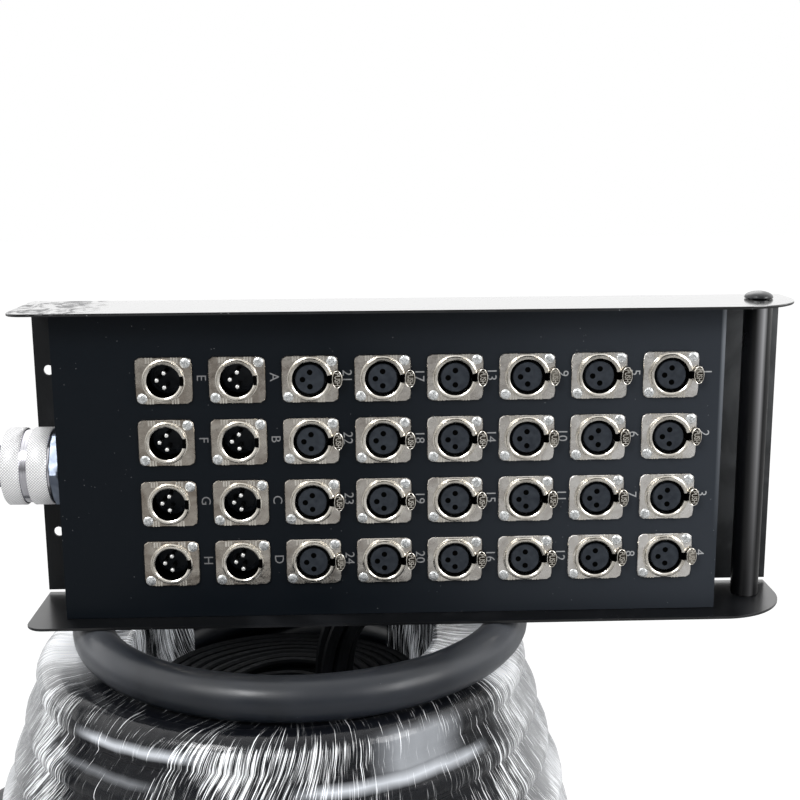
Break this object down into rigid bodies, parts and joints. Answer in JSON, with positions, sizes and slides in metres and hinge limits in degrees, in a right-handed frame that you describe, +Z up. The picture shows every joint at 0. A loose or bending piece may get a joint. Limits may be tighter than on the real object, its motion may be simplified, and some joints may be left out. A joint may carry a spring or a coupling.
{
  "type": "stage box snake",
  "caption": "Steel stage box of female and male three-pin sockets with a carrying tube, standing on its film-wrapped coil of multicore cable.",
  "frame": {"origin": "on the floor, under the middle of the box and the film wrap taken together", "axes": "+Z up, -Y out of the socket panel towards the user, +X towards the carrying tube"},
  "size_m": [0.5976, 0.3709, 0.3587],
  "materials": {
    "black_paint": "satin black powder coat, fine grain, rubbed edges",
    "nickel": "nickel-plated die casting, soft gloss",
    "insert_plastic": "black moulded plastic",
    "aluminium": "bright turned aluminium, knurled nut",
    "cable_jacket": "dull dark-grey rubber-like jacket",
    "black_rubber": "matte black rubber",
    "film": "clear glossy stretch film, creased"
  },
  "bodies": {
    "snake": {"front_shell": "black_paint", "top_cheek": "black_paint", "bottom_cheek": "black_paint", "back_cover": "black_paint", "handle_tube": "black_paint", "wiring_loom": "black_rubber", "gland_body": "aluminium", "gland_lock_nut": "aluminium", "gland_seal": "black_rubber", "handle_bolt_top": "black_paint", "handle_bolt_bottom": "black_paint", "return_1_shells": "nickel", "return_1_inserts": "insert_plastic", "return_2_shells": "nickel", "return_2_inserts": "insert_plastic", "send_1_shells": "nickel", "send_1_inserts": "insert_plastic", "send_2_shells": "nickel", "send_2_inserts": "insert_plastic", "send_3_shells": "nickel", "send_3_inserts": "insert_plastic", "send_4_shells": "nickel", "send_4_inserts": "insert_plastic", "send_5_shells": "nickel", "send_5_inserts": "insert_plastic", "send_6_shells": "nickel", "send_6_inserts": "insert_plastic", "trunk_lead": "cable_jacket", "coil_winding": "cable_jacket", "coil_core": "cable_jacket", "film_wrap": "film", "fanout_boot": "black_rubber", "fanout_tails": "black_rubber", "tail_plugs_sends": "nickel", "tail_plugs_returns": "nickel"},
    "cap_nut": {"gland_cap_nut": "aluminium"},
    "tab_01": {"push_tab_01": "nickel"},
    "tab_02": {"push_tab_02": "nickel"},
    "tab_03": {"push_tab_03": "nickel"},
    "tab_04": {"push_tab_04": "nickel"},
    "tab_05": {"push_tab_05": "nickel"},
    "tab_06": {"push_tab_06": "nickel"},
    "tab_07": {"push_tab_07": "nickel"},
    "tab_08": {"push_tab_08": "nickel"},
    "tab_09": {"push_tab_09": "nickel"},
    "tab_10": {"push_tab_10": "nickel"},
    "tab_11": {"push_tab_11": "nickel"},
    "tab_12": {"push_tab_12": "nickel"},
    "tab_13": {"push_tab_13": "nickel"},
    "tab_14": {"push_tab_14": "nickel"},
    "tab_15": {"push_tab_15": "nickel"},
    "tab_16": {"push_tab_16": "nickel"},
    "tab_17": {"push_tab_17": "nickel"},
    "tab_18": {"push_tab_18": "nickel"},
    "tab_19": {"push_tab_19": "nickel"},
    "tab_20": {"push_tab_20": "nickel"},
    "tab_21": {"push_tab_21": "nickel"},
    "tab_22": {"push_tab_22": "nickel"},
    "tab_23": {"push_tab_23": "nickel"},
    "tab_24": {"push_tab_24": "nickel"}
  },
  "joints": [
    {"name": "cap_nut_turn", "type": "hinge", "parent": "snake", "child": "cap_nut", "pos_m": [-0.1981, 0.0034, 0.2627], "axis": [-1, 0, 0], "range_deg": [0, 360]},
    {"name": "push_tab_01_press", "type": "slide", "parent": "snake", "child": "tab_01", "axis": [0, 1, 0], "range_m": [0, 0.0012], "stiffness_N_per_m": 500},
    {"name": "push_tab_02_press", "type": "slide", "parent": "snake", "child": "tab_02", "axis": [0, 1, 0], "range_m": [0, 0.0012], "stiffness_N_per_m": 500},
    {"name": "push_tab_03_press", "type": "slide", "parent": "snake", "child": "tab_03", "axis": [0, 1, 0], "range_m": [0, 0.0012], "stiffness_N_per_m": 500},
    {"name": "push_tab_04_press", "type": "slide", "parent": "snake", "child": "tab_04", "axis": [0, 1, 0], "range_m": [0, 0.0012], "stiffness_N_per_m": 500},
    {"name": "push_tab_05_press", "type": "slide", "parent": "snake", "child": "tab_05", "axis": [0, 1, 0], "range_m": [0, 0.0012], "stiffness_N_per_m": 500},
    {"name": "push_tab_06_press", "type": "slide", "parent": "snake", "child": "tab_06", "axis": [0, 1, 0], "range_m": [0, 0.0012], "stiffness_N_per_m": 500},
    {"name": "push_tab_07_press", "type": "slide", "parent": "snake", "child": "tab_07", "axis": [0, 1, 0], "range_m": [0, 0.0012], "stiffness_N_per_m": 500},
    {"name": "push_tab_08_press", "type": "slide", "parent": "snake", "child": "tab_08", "axis": [0, 1, 0], "range_m": [0, 0.0012], "stiffness_N_per_m": 500},
    {"name": "push_tab_09_press", "type": "slide", "parent": "snake", "child": "tab_09", "axis": [0, 1, 0], "range_m": [0, 0.0012], "stiffness_N_per_m": 500},
    {"name": "push_tab_10_press", "type": "slide", "parent": "snake", "child": "tab_10", "axis": [0, 1, 0], "range_m": [0, 0.0012], "stiffness_N_per_m": 500},
    {"name": "push_tab_11_press", "type": "slide", "parent": "snake", "child": "tab_11", "axis": [0, 1, 0], "range_m": [0, 0.0012], "stiffness_N_per_m": 500},
    {"name": "push_tab_12_press", "type": "slide", "parent": "snake", "child": "tab_12", "axis": [0, 1, 0], "range_m": [0, 0.0012], "stiffness_N_per_m": 500},
    {"name": "push_tab_13_press", "type": "slide", "parent": "snake", "child": "tab_13", "axis": [0, 1, 0], "range_m": [0, 0.0012], "stiffness_N_per_m": 500},
    {"name": "push_tab_14_press", "type": "slide", "parent": "snake", "child": "tab_14", "axis": [0, 1, 0], "range_m": [0, 0.0012], "stiffness_N_per_m": 500},
    {"name": "push_tab_15_press", "type": "slide", "parent": "snake", "child": "tab_15", "axis": [0, 1, 0], "range_m": [0, 0.0012], "stiffness_N_per_m": 500},
    {"name": "push_tab_16_press", "type": "slide", "parent": "snake", "child": "tab_16", "axis": [0, 1, 0], "range_m": [0, 0.0012], "stiffness_N_per_m": 500},
    {"name": "push_tab_17_press", "type": "slide", "parent": "snake", "child": "tab_17", "axis": [0, 1, 0], "range_m": [0, 0.0012], "stiffness_N_per_m": 500},
    {"name": "push_tab_18_press", "type": "slide", "parent": "snake", "child": "tab_18", "axis": [0, 1, 0], "range_m": [0, 0.0012], "stiffness_N_per_m": 500},
    {"name": "push_tab_19_press", "type": "slide", "parent": "snake", "child": "tab_19", "axis": [0, 1, 0], "range_m": [0, 0.0012], "stiffness_N_per_m": 500},
    {"name": "push_tab_20_press", "type": "slide", "parent": "snake", "child": "tab_20", "axis": [0, 1, 0], "range_m": [0, 0.0012], "stiffness_N_per_m": 500},
    {"name": "push_tab_21_press", "type": "slide", "parent": "snake", "child": "tab_21", "axis": [0, 1, 0], "range_m": [0, 0.0012], "stiffness_N_per_m": 500},
    {"name": "push_tab_22_press", "type": "slide", "parent": "snake", "child": "tab_22", "axis": [0, 1, 0], "range_m": [0, 0.0012], "stiffness_N_per_m": 500},
    {"name": "push_tab_23_press", "type": "slide", "parent": "snake", "child": "tab_23", "axis": [0, 1, 0], "range_m": [0, 0.0012], "stiffness_N_per_m": 500},
    {"name": "push_tab_24_press", "type": "slide", "parent": "snake", "child": "tab_24", "axis": [0, 1, 0], "range_m": [0, 0.0012], "stiffness_N_per_m": 500}
  ]
}
